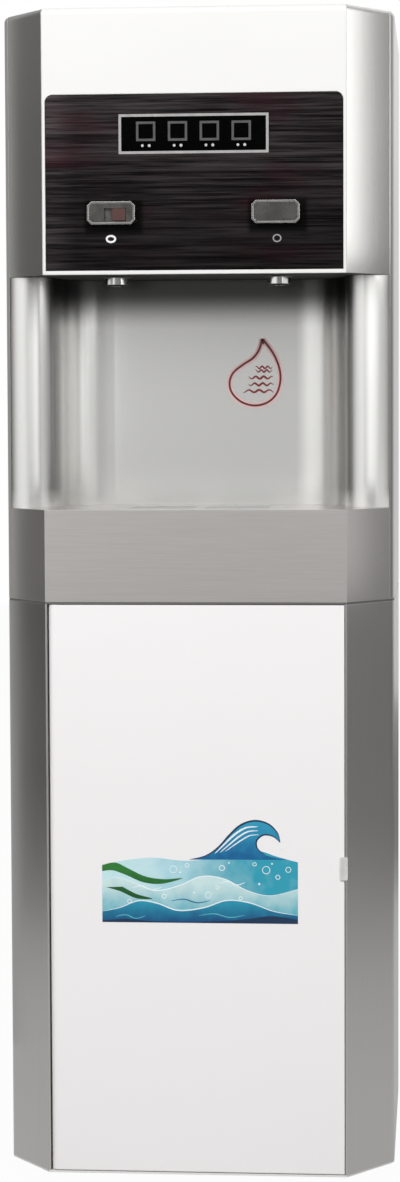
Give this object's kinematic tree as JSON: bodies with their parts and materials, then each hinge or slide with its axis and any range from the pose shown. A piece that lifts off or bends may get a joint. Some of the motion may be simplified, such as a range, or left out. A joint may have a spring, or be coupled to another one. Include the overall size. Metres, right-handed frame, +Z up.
{
  "type": "point-of-use water cooler",
  "caption": "Floor-standing water cooler with an open dispensing bay between a control head and a cabinet whose door hides the filters; push buttons, taps and a lift-out drip tray.",
  "frame": {"origin": "on the floor, under the middle of the casing", "axes": "+X to the viewer's right when facing the taps, -Y towards the viewer, +Z up"},
  "size_m": [0.3376, 0.348, 1.008],
  "materials": {
    "silver_sheet": "satin metallic",
    "white_sheet": "satin",
    "dark_sheet": "satin",
    "white_gloss": "gloss",
    "white_plastic": "satin",
    "silver_plastic": "satin",
    "black_plastic": "satin",
    "black_gloss": "gloss",
    "display_lens": "gloss",
    "clear_plastic": "gloss",
    "smoked_clear": "gloss",
    "chrome": "polished",
    "steel": "brushed",
    "aluminium": "extruded",
    "board": "satin",
    "red_plastic": "gloss",
    "blue_plastic": "gloss",
    "black_rubber": "matte",
    "silicone": "satin",
    "foam": "foam"
  },
  "bodies": {
    "casing": {"base_pan": "dark_sheet", "feet": "black_rubber", "lower_side_left": "silver_sheet", "lower_side_right": "silver_sheet", "upper_side_left": "silver_sheet", "upper_side_right": "silver_sheet", "mid_deck": "dark_sheet", "rear_panel": "white_sheet", "top_cover": "white_gloss", "head_shell": "silver_plastic", "head_plate": "white_gloss", "bay_liner": "silver_plastic", "fascia": "silver_plastic", "hinge_pins": "steel", "magnet_catch": "black_plastic", "control_panel": "black_gloss", "display_window": "display_lens", "control_board": "board", "hot_button_spring": "steel", "cold_button_spring": "steel", "nozzles": "chrome", "nozzle_collars": "black_plastic", "tap_valves": "black_plastic", "hot_tank": "steel", "heater_band": "steel", "hot_tank_jacket": "foam", "cold_tank": "steel", "cold_tank_lid": "white_plastic", "cold_tank_jacket": "foam", "float_valve": "white_plastic", "thermoelectric_module": "white_plastic", "heat_sink": "aluminium", "fan_frame": "black_plastic", "filter_bracket": "white_plastic", "power_supply": "black_plastic", "supply_tube": "white_plastic", "delivery_tube": "white_plastic", "hot_outlet_tube": "silicone", "cold_outlet_tube": "silicone", "water_inlet": "white_plastic", "power_inlet": "black_plastic", "switch_housings": "black_plastic"},
    "door": {"door_panel": "white_gloss", "door_inner": "white_sheet", "door_pull": "clear_plastic"},
    "hot_key": {"hot_button": "chrome", "hot_button_face": "smoked_clear"},
    "cold_key": {"cold_button": "chrome", "cold_button_face": "smoked_clear"},
    "lock": {"child_lock": "red_plastic"},
    "tray": {"drip_tray": "silver_plastic"},
    "grille": {"drip_grille": "steel"},
    "rotor": {"fan_rotor": "black_plastic"},
    "heat_rocker": {"heat_switch": "red_plastic"},
    "cool_rocker": {"cool_switch": "blue_plastic"},
    "float": {"float_arm": "white_plastic"},
    "sediment_filter": {"sediment_cartridge": "white_plastic"},
    "carbon_filter": {"carbon_cartridge": "white_plastic"},
    "membrane_filter": {"membrane_cartridge": "white_plastic"},
    "drain_plug": {"drain_cap": "black_rubber"}
  },
  "joints": [
    {"name": "door_hinge", "type": "hinge", "parent": "casing", "child": "door", "pos_m": [-0.1209, -0.1588, 0.256], "axis": [0, 0, -1], "range_deg": [0, 90]},
    {"name": "hot_press", "type": "slide", "parent": "casing", "child": "hot_key", "axis": [0, 1, 0], "range_m": [0, 0.004], "stiffness_N_per_m": 400, "springref_m": -0.002, "deforming": ["hot_button_spring"]},
    {"name": "cold_press", "type": "slide", "parent": "casing", "child": "cold_key", "axis": [0, 1, 0], "range_m": [0, 0.004], "stiffness_N_per_m": 400, "springref_m": -0.002, "deforming": ["cold_button_spring"]},
    {"name": "lock_slide", "type": "slide", "parent": "hot_key", "child": "lock", "axis": [-1, 0, 0], "range_m": [0, 0.007]},
    {"name": "tray_lift", "type": "slide", "parent": "casing", "child": "tray", "axis": [0, 0, 1], "range_m": [0, 0.06]},
    {"name": "grille_lift", "type": "slide", "parent": "tray", "child": "grille", "axis": [0, 0, 1], "range_m": [0, 0.03]},
    {"name": "fan_spin", "type": "hinge", "parent": "casing", "child": "rotor", "pos_m": [0.08, 0.1355, 0.634], "axis": [0, 1, 0], "continuous": true},
    {"name": "heat_rock", "type": "hinge", "parent": "casing", "child": "heat_rocker", "pos_m": [-0.1, 0.162, 0.761], "axis": [-1, 0, 0], "range_deg": [0, 20]},
    {"name": "cool_rock", "type": "hinge", "parent": "casing", "child": "cool_rocker", "pos_m": [-0.06, 0.162, 0.761], "axis": [-1, 0, 0], "range_deg": [0, 20]},
    {"name": "float_swing", "type": "hinge", "parent": "casing", "child": "float", "pos_m": [0.08, 0.04, 0.816], "axis": [1, 0, 0], "range_deg": [0, 25]},
    {"name": "sediment_twist", "type": "hinge", "parent": "casing", "child": "sediment_filter", "pos_m": [-0.064, -0.085, 0.34], "axis": [0, 0, 1], "range_deg": [0, 60]},
    {"name": "carbon_twist", "type": "hinge", "parent": "casing", "child": "carbon_filter", "pos_m": [0, -0.085, 0.34], "axis": [0, 0, 1], "range_deg": [0, 60]},
    {"name": "membrane_twist", "type": "hinge", "parent": "casing", "child": "membrane_filter", "pos_m": [0.064, -0.085, 0.34], "axis": [0, 0, 1], "range_deg": [0, 60]},
    {"name": "drain_pull", "type": "slide", "parent": "casing", "child": "drain_plug", "axis": [0, 1, 0], "range_m": [0, 0.014]}
  ]
}
